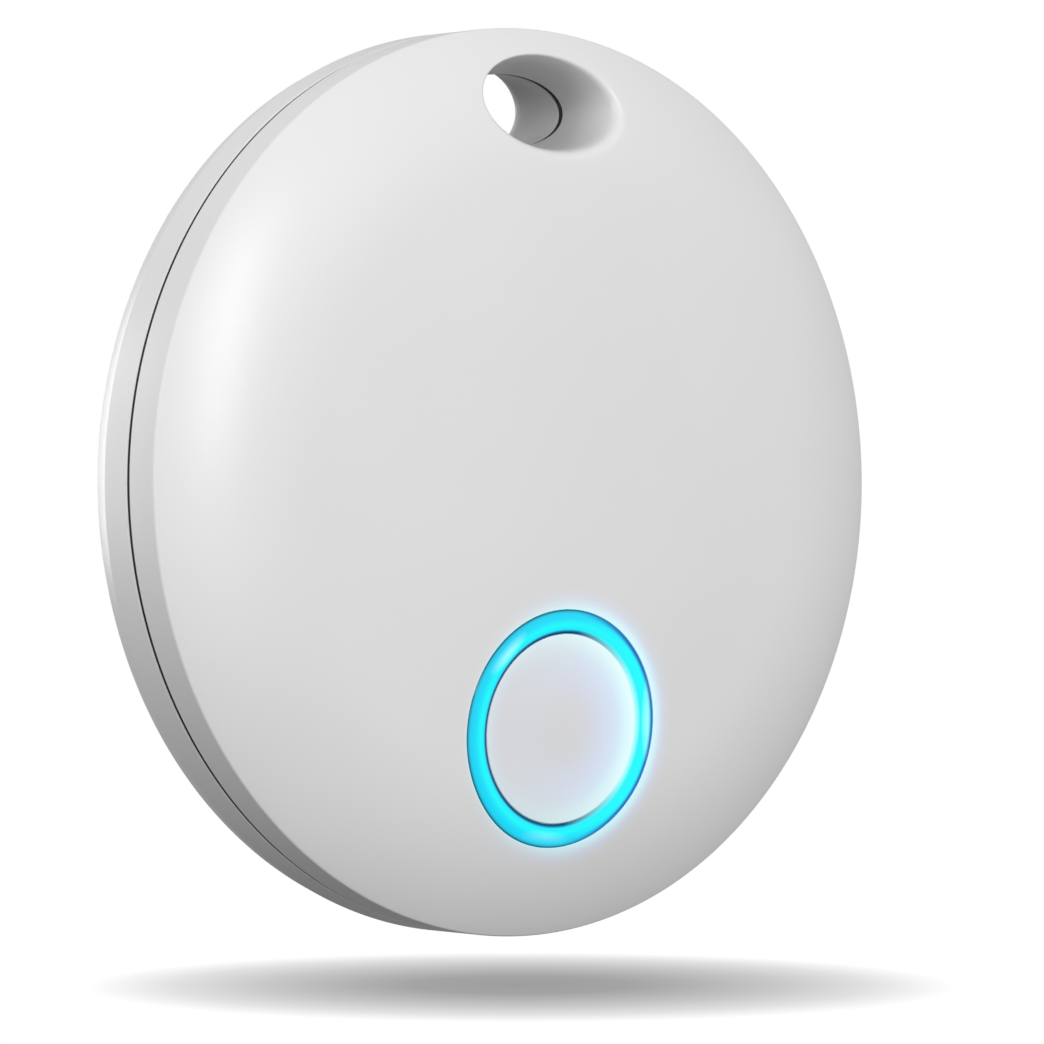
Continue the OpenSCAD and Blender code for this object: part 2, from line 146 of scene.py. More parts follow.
def under(depth):
    """The surface that lies depth under the domed face."""
    return lambda x, y: dome(x, y, depth)


# ---------- outlines, as closed rows of points ----------

def arc(x, y, r, angles):
    return np.column_stack([x + r * np.cos(angles), y + r * np.sin(angles)])


def circle(r, steps, centre=(0.0, 0.0)):
    return arc(*centre, r, np.linspace(0, 2 * pi, steps, endpoint=False))


def around_button(r, steps=BUTTON_STEPS):
    return circle(r, steps, (0.0, BUTTON_Y))


def oval(section, grow=0.0):
    """The keyring hole's outline for one (width, height, rise). It grows by a number, or by one
    number per point."""
    width, height, rise = section
    a = np.linspace(0, 2 * pi, HOLE_STEPS, endpoint=False)
    x, y = width / 2 * np.cos(a), height / 2 * np.sin(a)
    normal = np.column_stack([height * np.cos(a), width * np.sin(a)])
    normal /= np.linalg.norm(normal, axis=1)[:, None]
    return np.column_stack([x, y + HOLE_Y + rise]) + normal * np.reshape(grow, (-1, 1))


def boss_outline(r, margin):
    """Circle of radius r that goes around the boss of the keyring hole, margin away from it."""
    reach = BOSS_R + margin
    side = BOSS_HALF + reach
    tip = acos(side / r)
    around = np.linspace(pi - tip, 2 * pi + tip, RIM_STEPS)
    corner = np.linspace(0, -pi / 2, 24)
    return np.concatenate([
        arc(0, 0, r, around),
        arc(BOSS_HALF, HOLE_Y, reach, corner),
        arc(-BOSS_HALF, HOLE_Y, reach, corner - pi / 2),
    ])


def inside(points, outline):
    """Which points lie inside a closed outline."""
    x, y = points[:, :1], points[:, 1:]
    ax, ay = outline[:, 0], outline[:, 1]
    bx, by = np.roll(ax, -1), np.roll(ay, -1)
    rise = np.where(by == ay, 1e-12, by - ay)
    crossed = ((ay > y) != (by > y)) & (x < (bx - ax) * (y - ay) / rise + ax)
    return crossed.sum(1) % 2 == 1


# ---------- mesh building ----------

SHARP = 32    # degrees. Edges sharper than this stay crisp.


class Surface:
    """Points and faces of closed skins, in the tag's axes."""

    def __init__(self):
        self.points, self.faces = [], []

    def loop(self, outline, height):
        """Adds a closed row of points, and returns their numbers."""
        surface = height if callable(height) else flat(height)
        return self.raw_loop(np.column_stack([outline, surface(outline[:, 0], outline[:, 1])]))

    def raw_loop(self, points):
        """The same for points that have their heights already."""
        start = len(self.points)
        self.points += [tuple(p) for p in points]
        return list(range(start, len(self.points)))

    def band(self, *loops):
        """Joins rows of points one after the other."""
        for a, b in zip(loops, loops[1:]):
            n = len(a)
            self.faces += [(a[i], a[(i + 1) % n], b[(i + 1) % n], b[i]) for i in range(n)]

    def lid(self, loop):
        """Closes a small row of points with a fan."""
        middle = len(self.points)
        self.points.append(tuple(np.mean([self.points[i] for i in loop], axis=0)))
        self.faces += [(loop[i], loop[(i + 1) % len(loop)], middle) for i in range(len(loop))]

    def sheet(self, outer, holes, height, pitch):
        """Fills between an outer row of points and the rows of its holes, with inner points on
        rings that lie pitch apart."""
        clearance = 0.6 * pitch    # inner points this near a border are left out
        chunk = 500                # inner points compared with the borders at a time
        least = 6                  # points on the smallest ring
        rims = [outer, *holes]
        outlines = [np.array([self.points[i][:2] for i in rim]) for rim in rims]
        reach = np.abs(outlines[0]).max()
        rings = [circle(r, max(least, round(2 * pi * r / pitch)))
                 for r in np.arange(pitch, reach, pitch)]
        grid = np.concatenate([[(0.0, 0.0)], *rings])
        keep = inside(grid, outlines[0])
        for outline in outlines[1:]:
            keep &= ~inside(grid, outline)
        border = np.concatenate(outlines)
        for part in np.array_split(np.arange(len(grid)), 1 + len(grid) // chunk):
            gap = np.hypot(*(grid[part, None, :] - border[None]).transpose(2, 0, 1)).min(1)
            keep[part] &= gap > clearance
        grid = grid[keep]
        numbers = [i for rim in rims for i in rim]
        start = len(self.points)
        self.points += list(zip(grid[:, 0], grid[:, 1], height(grid[:, 0], grid[:, 1])))
        numbers += range(start, len(self.points))
        edges, first = [], 0
        for rim in rims:
            edges += [(first + i, first + (i + 1) % len(rim)) for i in range(len(rim))]
            first += len(rim)
        flat_points = [Vector(p) for p in np.concatenate([border, grid])]
        found = delaunay_2d_cdt(flat_points, edges, [], 0, 1e-7)
        places, triangles, origins = found[0], found[2], found[3]
        origin = [numbers[o[0]] for o in origins]
        middles = np.array([np.mean([places[i] for i in t], axis=0) for t in triangles])
        good = inside(middles, outlines[0])
        for outline in outlines[1:]:
            good &= ~inside(middles, outline)
        self.faces += [tuple(origin[i] for i in t) for t, g in zip(triangles, good) if g]

    def turned(self, profile, centre=(0.0, 0.0), steps=96, height=None):
        """A turned solid: its outline (radius, z) starts and ends on the axis, or closes on itself.
        With a height, each z counts from that surface."""
        loops = []
        for r, z in profile:
            if r > 0:
                outline = circle(r, steps, centre)
                base = height(outline[:, 0], outline[:, 1]) if height else 0.0
                heights = np.broadcast_to(base + z, steps)
                loops.append(self.raw_loop(np.column_stack([outline, heights])))
        self.band(*loops)
        if profile[0][0] > 0:
            self.band(loops[-1], loops[0])
        else:
            self.lid(loops[0])
            self.lid(loops[-1])

    def build(self, name, material, sharp=SHARP):
        """Makes the piece, with its normals outwards."""
        mesh = bpy.data.meshes.new(name)
        mesh.from_pydata([row(*p) for p in self.points], [], self.faces)
        tidy = bmesh.new()
        tidy.from_mesh(mesh)
        bmesh.ops.recalc_face_normals(tidy, faces=tidy.faces)
        tidy.to_mesh(mesh)
        tidy.free()
        shade(mesh, sharp)
        mesh.materials.append(material)
        piece = bpy.data.objects.new(name, mesh)
        bpy.context.scene.collection.objects.link(piece)
        return piece


def shade(mesh, sharp=SHARP):
    """Smooth shading, with edges sharper than that angle in degrees left crisp."""
    mesh.polygons.foreach_set("use_smooth", [True] * len(mesh.polygons))
    mesh.set_sharp_from_angle(angle=radians(sharp))


def cut_box(piece, middle, size):
    """Cuts a box out of a piece. Both are in the tag's axes."""
    bpy.ops.mesh.primitive_cube_add(size=1, location=row(*middle))
    cutter = bpy.context.active_object
    cutter.scale = (size[0] * MM, size[2] * MM, size[1] * MM)
    modifier = piece.modifiers.new("cut", "BOOLEAN")
    modifier.object = cutter
    modifier.solver = "EXACT"
    bpy.context.view_layer.objects.active = piece
    bpy.ops.object.modifier_apply(modifier=modifier.name)
    bpy.data.objects.remove(cutter)
    shade(piece.data)


def cut_notch(piece, middle_z, height):
    """Cuts the pry notch, at the right of the rim."""
    depth, width, _ = NOTCH
    cut_box(piece, (CASE_R - depth / 2 + CUT_PAST, 0, middle_z), (depth + 2 * CUT_PAST, width, height))


# ---------- materials ----------

NOISE_LOW, NOISE_HIGH = 0.3, 0.7    # most of a noise lies between these
RIGHT_FROM = 3.4    # mm beside the button's axis from where around_axis shows only the right side


def new_material(name):
    material = bpy.data.materials.new(name)
    material.use_nodes = True
    return material, material.node_tree, material.node_tree.nodes["Principled BSDF"]


def link(tree, a, b):
    tree.links.new(a, b)


def place_of(tree):
    """The point's place in the object's own space, in metres."""
    return tree.nodes.new("ShaderNodeTexCoord").outputs["Object"]


def mapped(tree, kind="POINT", **values):
    """The same, moved, turned or scaled. kind TEXTURE counts places in units of Scale from
    Location."""
    node = tree.nodes.new("ShaderNodeMapping")
    node.vector_type = kind
    for name, value in values.items():
        node.inputs[name].default_value = value
    link(tree, place_of(tree), node.inputs["Vector"])
    return node.outputs["Vector"]


def vector_math(tree, operation, vector, other=None):
    node = tree.nodes.new("ShaderNodeVectorMath")
    node.operation = operation
    link(tree, vector, node.inputs[0])
    if other:
        node.inputs[1].default_value = other
    return node.outputs["Vector" if operation == "MULTIPLY" else "Value"]


def split(tree, vector):
    """The X, Y and Z of a vector, by name."""
    node = tree.nodes.new("ShaderNodeSeparateXYZ")
    link(tree, vector, node.inputs["Vector"])
    return node.outputs


def mixed(tree, blend, factor, first, second):
    """Two colours blended. first is a socket, second a socket or a plain colour."""
    node = tree.nodes.new("ShaderNodeMix")
    node.data_type = "RGBA"
    node.blend_type = blend
    below, above, result = node.inputs[6], node.inputs[7], node.outputs[2]
    link(tree, factor, node.inputs["Factor"])
    link(tree, first, below)
    if isinstance(second, tuple):
        above.default_value = (*second, 1)
    else:
        link(tree, second, above)
    return result


def noise(tree, scale, detail=2.0, stretch=(1, 1, 1)):
    """Noise in the object's own space. scale counts features per metre."""
    texture = tree.nodes.new("ShaderNodeTexNoise")
    texture.inputs["Scale"].default_value = scale
    texture.inputs["Detail"].default_value = detail
    link(tree, mapped(tree, Scale=stretch), texture.inputs["Vector"])
    return texture.outputs["Fac"]


def ramp(tree, value, stops):
    """Colours along a value. stops are (position, colour)."""
    node = tree.nodes.new("ShaderNodeValToRGB")
    elements = node.color_ramp.elements
    while len(elements) < len(stops):
        elements.new(0.5)
    for element, (position, colour) in zip(elements, stops):
        element.position = position
        element.color = (*colour, 1)
    link(tree, value, node.inputs["Fac"])
    return node.outputs["Color"]


def greys(stops):
    """Stops for ramp from (position, grey)."""
    return [(position, (grey, grey, grey)) for position, grey in stops]


def drifting(tree, value, colour, darker, lighter):
    """A colour that drifts with a noise between two factors."""
    return ramp(tree, value, [(NOISE_LOW, shaded(colour, darker)),
                              (NOISE_HIGH, shaded(colour, lighter))])


def span(tree, value, low, high, to_low, to_high):
    """The range low to high turned into the range to_low to to_high, and held at its ends."""
    node = tree.nodes.new("ShaderNodeMapRange")
    limits = {"From Min": low, "From Max": high, "To Min": to_low, "To Max": to_high}
    for name, number in limits.items():
        node.inputs[name].default_value = number
    link(tree, value, node.inputs["Value"])
    return node.outputs["Result"]


def compute(tree, operation, *values):
    """One step of arithmetic on sockets and plain numbers."""
    node = tree.nodes.new("ShaderNodeMath")
    node.operation = operation
    for value, socket in zip(values, node.inputs):
        if isinstance(value, (int, float)):
            socket.default_value = value
        else:
            link(tree, value, socket)
    return node.outputs["Value"]


def bump(tree, shader, value, depth, strength=1.0):
    """Relief of that depth in mm on top of what the shader already has."""
    node = tree.nodes.new("ShaderNodeBump")
    node.inputs["Strength"].default_value = strength
    node.inputs["Distance"].default_value = depth * MM
    link(tree, value, node.inputs["Height"])
    if shader.inputs["Normal"].is_linked:
        link(tree, shader.inputs["Normal"].links[0].from_socket, node.inputs["Normal"])
    link(tree, node.outputs["Normal"], shader.inputs["Normal"])


def shaded(colour, factor):
    return tuple(min(1.0, c * factor) for c in colour)


def plain(name, colour, rough=0.45, metal=0.0, vary=0.04, spot=400, grain=9000, relief=0.002,
          stretch=(1, 1, 1)):
    """A worked surface: colour and gloss that drift over spot, and a fine grain."""
    material, tree, shader = new_material(name)
    drift = noise(tree, spot, 3.0, stretch)
    link(tree, drifting(tree, drift, colour, 1 - vary, 1 + vary), shader.inputs["Base Color"])
    link(tree, span(tree, drift, NOISE_LOW, NOISE_HIGH, rough * 0.9, rough * 1.1),
         shader.inputs["Roughness"])
    bump(tree, shader, noise(tree, grain, 2.0, stretch), relief)
    shader.inputs["Metallic"].default_value = metal
    return material


def from_button(tree):
    """Distance from the button's axis, in mm."""
    flattened = vector_math(tree, "MULTIPLY", place_of(tree), (1, 0, 1))
    away = vector_math(tree, "DISTANCE", flattened, (0, 0, (BUTTON_Y - HOLE_Y) * MM))
    return compute(tree, "MULTIPLY", away, 1 / MM)


def from_hole(tree):
    """Distance from the keyring hole's axis, as a share of the front mouth."""
    to_share = (2 / HOLE_FRONT[0] / MM, 0.0, 2 / HOLE_FRONT[1] / MM)
    return vector_math(tree, "LENGTH", vector_math(tree, "MULTIPLY", place_of(tree), to_share))


def around_axis(tree, start, left, right):
    """Colours by distance from the button's axis: one list of (distance in mm, colour) for the left
    and one for the right, with a smooth change between them from start mm beside the axis."""
    distance = from_button(tree)
    sides = []
    for stops in (left, right):
        near, far = stops[0][0], stops[-1][0]
        sides.append(ramp(tree, span(tree, distance, near, far, 0, 1),
                          [((d - near) / (far - near), colour) for d, colour in stops]))
    beside = split(tree, place_of(tree))["X"]
    return mixed(tree, "MIX", span(tree, beside, start * MM, RIGHT_FROM * MM, 0, 1), *sides)


WHITE = (0.805, 0.805, 0.805)
# Painted shade on the keyring hole's walls: distance as a share of the front mouth, and grey.
HOLE_PAINTED_SHADE = ((0.74, 0.66), (0.84, 0.74), (0.95, 1.0), (1.0, 1.0))
PAINTED_SHADE_FADE = (0.4, 0.1)    # heights over the rear face where the painted shade starts to fade and is gone


def shell_plastic(name, glow=None):
    """White moulded plastic with a fine spark texture, with painted shade inside the keyring hole.
    glow is painted light: the ring's glow in the plastic next to the light ring, as around_axis takes
    it."""
    material, tree, shader = new_material(name)
    white = drifting(tree, noise(tree, 90, 2.0), WHITE, 0.985, 1.015)
    # Painted shade: the base colour is darker inside the keyring hole.
    painted_shade = ramp(tree, from_hole(tree), greys(HOLE_PAINTED_SHADE))
    fade = [(-REAR_Z - height) * MM for height in PAINTED_SHADE_FADE]
    share = span(tree, split(tree, place_of(tree))["Y"], *fade, 1, 0)
    link(tree, mixed(tree, "MULTIPLY", share, white, painted_shade), shader.inputs["Base Color"])
    link(tree, span(tree, noise(tree, 5000, 2.0), NOISE_LOW, NOISE_HIGH, 0.28, 0.34),
         shader.inputs["Roughness"])
    bump(tree, shader, noise(tree, 7000, 2.0), 0.0015)
    bump(tree, shader, noise(tree, 1500, 1.0), 0.0008)
    shader.inputs["Specular IOR Level"].default_value = 0.45
    # Painted light: the ring's glow painted into the plastic as emission.
    if glow:
        link(tree, around_axis(tree, *glow), shader.inputs["Emission Color"])
        shader.inputs["Emission Strength"].default_value = 1.0
    return material


# The lit ring's colours across its width, for around_axis: its left and its right side. Over its cyan
# glow they hold painted shade along its edges and, on the right side, a painted highlight along its
# inner edge.
RING_GLOW_WITH_PAINTED_EDGES = (0.5, [
    (3.97, (0.0, 0.01, 0.04)), (4.03, (0.0, 0.03, 0.12)), (4.08, (0.002, 0.20, 0.42)),
    (4.15, (0.01, 0.80, 0.95)), (4.35, (0.01, 0.93, 0.93)), (4.60, (0.01, 0.70, 0.93)),
    (4.82, (0.01, 0.62, 0.86)), (4.89, (0.02, 0.40, 0.55)), (4.93, (0.0, 0.12, 0.18))], [
    (3.97, (0.50, 0.97, 1.0)), (4.08, (0.25, 0.95, 0.97)), (4.20, (0.02, 0.90, 0.93)),
    (4.60, (0.01, 0.95, 0.98)), (4.70, (0.01, 0.75, 0.93)), (4.78, (0.004, 0.30, 0.62)),
    (4.86, (0.003, 0.10, 0.40)), (4.96, (0.003, 0.12, 0.40))])
# Its painted highlights, streaks along the ring: angle from the right in degrees, distance from the
# axis, length, strength.
PAINTED_GLINTS = ((135, 4.45, 1.3, 0.9), (4, 4.52, 1.9, 1.0), (264, 4.52, 1.4, 0.35))
PAINTED_GLINT_WIDTH = 0.3
PAINTED_GLINT_COLOUR = (0.36, 0.2, 0.1)


def painted_glint(tree, colour, angle, distance, length, strength):
    """A painted highlight: a brighter streak along the ring."""
    up = BUTTON_Y - HOLE_Y + distance * sin(angle)
    streak = mapped(tree, "TEXTURE", Location=(distance * cos(angle) * MM, 0, up * MM),
                    Rotation=(0, -angle, 0), Scale=(PAINTED_GLINT_WIDTH * MM, 1, length * MM))
    lit = span(tree, vector_math(tree, "LENGTH", streak), 1, 0, 0, strength)
    return mixed(tree, "ADD", lit, colour, PAINTED_GLINT_COLOUR)


def light_guide(name):
    """Lit acrylic: bright cyan over its crest, with painted shade where its flanks turn down and
    painted highlights along it.
    """
    material, tree, shader = new_material(name)
    shader.inputs["Base Color"].default_value = (0.0, 0.02, 0.03, 1)
    shader.inputs["Roughness"].default_value = 0.12
    shader.inputs["Specular IOR Level"].default_value = 0.25
    colour = around_axis(tree, *RING_GLOW_WITH_PAINTED_EDGES)
    # Painted highlights along the ring.
    for angle, distance, length, strength in PAINTED_GLINTS:
        colour = painted_glint(tree, colour, radians(angle), distance, length, strength)
    link(tree, colour, shader.inputs["Emission Color"])
    shader.inputs["Emission Strength"].default_value = 1.0
    bump(tree, shader, noise(tree, 3000, 1.0), 0.0006)
    return material


def brushed(name, colour, rough=0.3):
    """Turned or rolled metal with fine streaks around the cell's axis."""
    material, tree, shader = new_material(name)
    rings = tree.nodes.new("ShaderNodeTexWave")
    rings.wave_type = "RINGS"
    rings.rings_direction = "Y"
    rings.inputs["Scale"].default_value = 900
    rings.inputs["Distortion"].default_value = 6
    rings.inputs["Detail"].default_value = 3
    rings.inputs["Detail Scale"].default_value = 2
    link(tree, mapped(tree, Location=(0, 0, HOLE_Y * MM)), rings.inputs["Vector"])
    link(tree, drifting(tree, noise(tree, 300, 3.0), colour, 0.93, 1.05), shader.inputs["Base Color"])
    link(tree, span(tree, rings.outputs["Fac"], 0, 1, rough * 0.85, rough * 1.2),
         shader.inputs["Roughness"])
    bump(tree, shader, rings.outputs["Fac"], 0.0008)
    shader.inputs["Metallic"].default_value = 1.0
    return material


def board_material(name):
    """Green solder mask over faint copper tracks."""
    material, tree, shader = new_material(name)
    mask, track = (0.012, 0.10, 0.055), (0.03, 0.20, 0.10)
    tracks = tree.nodes.new("ShaderNodeTexVoronoi")
    tracks.distance = "CHEBYCHEV"
    tracks.feature = "F2"
    tracks.inputs["Scale"].default_value = 420
    link(tree, place_of(tree), tracks.inputs["Vector"])
    pattern = ramp(tree, tracks.outputs["Distance"],
                   [(0.44, mask), (0.47, track), (0.53, track), (0.56, mask)])
    link(tree, pattern, shader.inputs["Base Color"])
    bump(tree, shader, tracks.outputs["Distance"], 0.004, 0.4)
    link(tree, span(tree, noise(tree, 2000), NOISE_LOW, NOISE_HIGH, 0.28, 0.4),
         shader.inputs["Roughness"])
    shader.inputs["Coat Weight"].default_value = 0.3
    return material


# ---------- the case ----------

COARSE = 1.5          # spacing of the inner points on level faces
POST_CIRCLE = 13.2    # how far the posts stand from the middle


def rounded(centre_r, centre_z, r, first, last, steps):
    """(radius, z) points of an arc. Angles count from straight out of the face towards the rim."""
    angles = np.linspace(first, last, steps)
    return [(centre_r + r * sin(a), centre_z + r * cos(a)) for a in angles]


def curve(start, corner, end, steps):
    """Points, or rows of points, along a soft curve that turns towards a corner."""
    return [(1 - t) ** 2 * start + 2 * t * (1 - t) * corner + t ** 2 * end
            for t in np.linspace(0, 1, steps)]


def eased(before, point, after):
    """A small rounding at a corner of a profile."""
    p, a, b = (np.array(q, float) for q in (point, before, after))
    a = p + (a - p) / np.linalg.norm(a - p) * CHAMFER_ROUND
    b = p + (b - p) / np.linalg.norm(b - p) * CHAMFER_ROUND
    return [tuple(q) for q in curve(a, p, b, 5)]


def hole_wall(surface, mouth, height, waist_z, fillet):
    """Rows of points from the face over the mouth's fillet to the seam. fillet is one number per
    point. Returns the first row and the last."""
    def on_face(grow):
        outline = oval(mouth, grow)
        return np.column_stack([outline, height(outline[:, 0], outline[:, 1])])

    start, corner = on_face(FILLET_ON_FACE * fillet), on_face(-FILLET_ON_FACE * fillet)
    waist = np.column_stack([oval(HOLE_WAIST), np.full(HOLE_STEPS, waist_z)])
    wall = waist - corner
    length = np.linalg.norm(wall, axis=1)[:, None]
    reach = np.minimum(np.reshape(fillet, (-1, 1)) * FILLET_ON_WALL, FILLET_MOST * length)
    turn = corner + wall / length * reach
    rows = [surface.raw_loop(points) for points in curve(start, corner, turn, 10)]
    rows += [surface.raw_loop(turn + (waist - turn) * t) for t in (0.25, 0.5, 0.75)]
    step, depth = SEAM_STEP
    rows.append(surface.loop(oval(HOLE_WAIST), step * waist_z))
    rows.append(surface.loop(oval(HOLE_WAIST, depth), step * waist_z))
    rows.append(surface.loop(oval(HOLE_WAIST, depth), waist_z))
    surface.band(*rows)
    return rows[0], rows[-1]


def make_front_case():
    s = Surface()
    # From the face over the rim down to the seam.
    centre_r = CASE_R - RIM_ROUND
    centre_z = float(dome(centre_r, 0, RIM_ROUND))
    first = asin((centre_r - SHOULDER_X) / (SHOULDER_R - RIM_ROUND))
    profile = rounded(centre_r, centre_z, RIM_ROUND, first, pi / 2, 8)
    profile += [(CASE_R, SEAM + EDGE), (CASE_R - EDGE, SEAM)]
    rim = [s.loop(circle(r, RIM_STEPS), z) for r, z in profile]
    s.band(*rim)

    angle = np.linspace(0, 2 * pi, HOLE_STEPS, endpoint=False)
    mean, to_right, to_top = FRONT_FILLET
    fillet = mean + to_right * np.cos(angle) + to_top * np.sin(angle)
    mouth, waist = hole_wall(s, HOLE_FRONT, dome, SEAM, fillet)
    opening, broken = RING_OUT + RING_GAP, 0.015
    lip = [s.loop(around_button(opening + broken), dome),
           s.loop(around_button(opening), under(broken)),
           s.loop(around_button(opening), under(LIP)),
           s.loop(around_button(RECESS_R), under(LIP)),
           s.loop(around_button(RECESS_R), under(FACE_WALL))]
    s.band(*lip)
    s.sheet(rim[0], [mouth, lip[0]], dome, 0.45)

    outline = boss_outline(CAVITY_R, 0)
    cavity = [s.loop(outline, SEAM), s.loop(outline, under(FACE_WALL))]
    s.band(*cavity)
    s.sheet(rim[-1], [cavity[0], waist], flat(SEAM), COARSE)
    s.sheet(cavity[1], [lip[-1]], under(FACE_WALL), 1.0)

    # The ledge that the buzzer is glued to. It runs into the face's wall, as the posts do.
    plate_front = -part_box("buzzer_adhesive")[0].y / MM
    buzzer_low, buzzer_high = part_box("buzzer_plate")
    buzzer_y = (buzzer_low.z + buzzer_high.z) / 2 / MM + HOLE_Y
    ledge_out, ledge_in, ledge_root = 6.0, 5.3, 3.9
    s.turned([(ledge_in, plate_front), (ledge_out, plate_front), (ledge_out, ledge_root),
              (ledge_in, ledge_root)], (0, buzzer_y))

    # Four posts. Each has a pin through the board and a melted head behind it.
    board_front = -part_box("circuit_board")[0].y / MM
    board_rear, head_rear, root = 1.4, 1.05, 3.4
    post_r, pin_r, head_r = 1.3, 0.6, 1.1
    head = [(0, head_rear), (0.7, head_rear), (1.0, head_rear + 0.12), (head_r, head_rear + 0.3),
            (head_r, board_rear)]
    post = [(pin_r, board_rear), (pin_r, board_front), (post_r, board_front), (post_r, root), (0, root)]
    for degrees in (45, 135, 225, 315):
        a = radians(degrees)
        s.turned(head + post, (POST_CIRCLE * cos(a), POST_CIRCLE * sin(a)), 40)
    piece = s.build("front_case", MATERIALS["front_case"])
    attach(piece, "housing")
    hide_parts("front_shell")


def make_rear_case():
    s = Surface()
    # From the rear face over the chamfer up to the seam.
    wide, high = CHAMFER
    low, top = (CASE_R - wide, REAR_Z), (CASE_R, REAR_Z + high)
    profile = eased((0, REAR_Z), low, top) + eased(low, top, (CASE_R, 0))
    profile += [(CASE_R, -SEAM - EDGE), (CASE_R - EDGE, -SEAM)]
    rim = [s.loop(circle(r, RIM_STEPS), z) for r, z in profile]
    s.band(*rim)
    mouth, waist = hole_wall(s, HOLE_REAR, flat(REAR_Z), -SEAM, np.full(HOLE_STEPS, REAR_FILLET))
    s.sheet(rim[0], [mouth], flat(REAR_Z), COARSE)

    # The spigot: how far each row lies inside its outer wall, and its height.
    floor_z = REAR_Z + REAR_WALL
    spigot = [s.loop(boss_outline(SPIGOT_R - inset, SPIGOT_GAP + inset), z) for inset, z in (
        (0, -SEAM), (0, GROOVE_LOW), (GROOVE_DEPTH, GROOVE_LOW), (GROOVE_DEPTH, GROOVE_HIGH),
        (0, GROOVE_HIGH), (0, SPIGOT_TOP - SPIGOT_LEAD), (SPIGOT_EDGE, SPIGOT_TOP),
        (SPIGOT_WALL - SPIGOT_EDGE, SPIGOT_TOP), (SPIGOT_WALL, SPIGOT_TOP - SPIGOT_EDGE),
        (SPIGOT_WALL, floor_z))]
    s.band(*spigot)
    s.sheet(rim[-1], [spigot[0], waist], flat(-SEAM), COARSE)
    pad = circle(PAD_R, 120)
    recess = [s.loop(pad, floor_z), s.loop(pad, floor_z - PAD_RECESS)]
    s.band(*recess)
    s.sheet(spigot[-1], [recess[0]], flat(floor_z), COARSE)
    s.lid(recess[1])
    piece = s.build("rear_case", MATERIALS["rear_case"])
    past = 0.01    # how far the notch's cutter stands over the seam's face
    cut_notch(piece, -SEAM - NOTCH[2] / 2 + past, NOTCH[2] + 2 * past)
    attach(piece, "cover")
    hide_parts("rear_cover")


def make_gasket():
    """The thin gasket between the shells, whose edge is the dark line of the seam."""
    s = Surface()
    low, high = -SEAM, SEAM - 0.03
    outlines = [circle(CASE_R - 0.05, RIM_STEPS), oval(HOLE_WAIST, 0.02),
                boss_outline(SPIGOT_R, SPIGOT_GAP)]
    lower, upper = ([s.loop(outline, z) for outline in outlines] for z in (low, high))
    for a, b in zip(lower, upper):
        s.band(a, b)
    s.sheet(lower[0], lower[1:], flat(low), COARSE)
    s.sheet(upper[0], upper[1:], flat(high), COARSE)
    piece = s.build("gasket", MATERIALS["gasket"])
    cut_notch(piece, 0, 1.0)
    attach(piece, "cover")
    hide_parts("seam_gasket")


# ---------- the button and its light ring ----------

def make_light_ring():
    s = Surface()
    half = (RING_OUT - RING_IN) / 2
    middle = (RING_OUT + RING_IN) / 2
    crest = [(middle + half * t, (RING_PROUD + RING_SUNK) * (1 - t ** 2) - RING_SUNK)
             for t in np.sin(np.linspace(-pi / 2, pi / 2, 29))]
    (foot_in, inner_z), (foot_out, outer_z), foot_z = RING_FOOT
    foot = [(RING_OUT, outer_z), (foot_out, outer_z), (foot_out, foot_z), (foot_in, foot_z),
            (foot_in, inner_z), (RING_IN, inner_z)]
    s.turned(crest + foot, (0.0, BUTTON_Y), BUTTON_STEPS, dome)
    lowest = -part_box("light_ring")[1].y / MM
    s.points = [(x, y, max(z, lowest)) for x, y, z in s.points]
    piece = s.build("ring_light_guide", MATERIALS["ring_light_guide"], 45)
    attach(piece, "housing")
    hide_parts("light_ring")


def make_button():
    s = Surface()
    top = [(BUTTON_R * t, 0.0) for t in np.linspace(0.08, 0.9, 12)]
    corner = rounded(BUTTON_R - BUTTON_ROUND, -BUTTON_ROUND, BUTTON_ROUND, 0, pi / 2, 7)
    wider, flange_z, under_z = BUTTON_FLANGE
    flange_r = BUTTON_R + wider
    flange = [(BUTTON_R, flange_z), (flange_r, flange_z), (flange_r, under_z), (1.0, under_z),
              (0.0, under_z)]
    s.turned([(0, 0)] + top + corner + flange, (0.0, BUTTON_Y), BUTTON_STEPS, dome)
    stem_z = -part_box("button_cap")[1].y / MM
    stem_r, stem_root = 0.5, 3.6
    s.turned([(0, stem_z), (stem_r, stem_z), (stem_r, stem_root), (0, stem_root)], (0.0, BUTTON_Y), 48)
    piece = s.build("push_button", MATERIALS["push_button"])
    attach(piece, "button")
    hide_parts("button_cap")


# ---------- stage ----------

LEAN = radians(0.756)         # how far the tag leans to its right in front of the camera
VIEW_TURN = radians(-38.75)   # the camera stands to the tag's left
VIEW_RISE = radians(0.22)
VIEW_DISTANCE = 230.8
VIEW_RIGHT = 0.94             # the view's middle, from the middle of the disc
VIEW_DOWN = 1.66
LENS = 188.9


def leaning(matrix):
    """Turns a placing about the disc's axis, so that the tag leans in front of it."""
    middle = Matrix.Translation(row(0, 0, 0))
    return middle @ Matrix.Rotation(-LEAN, 4, "Y") @ middle.inverted() @ matrix


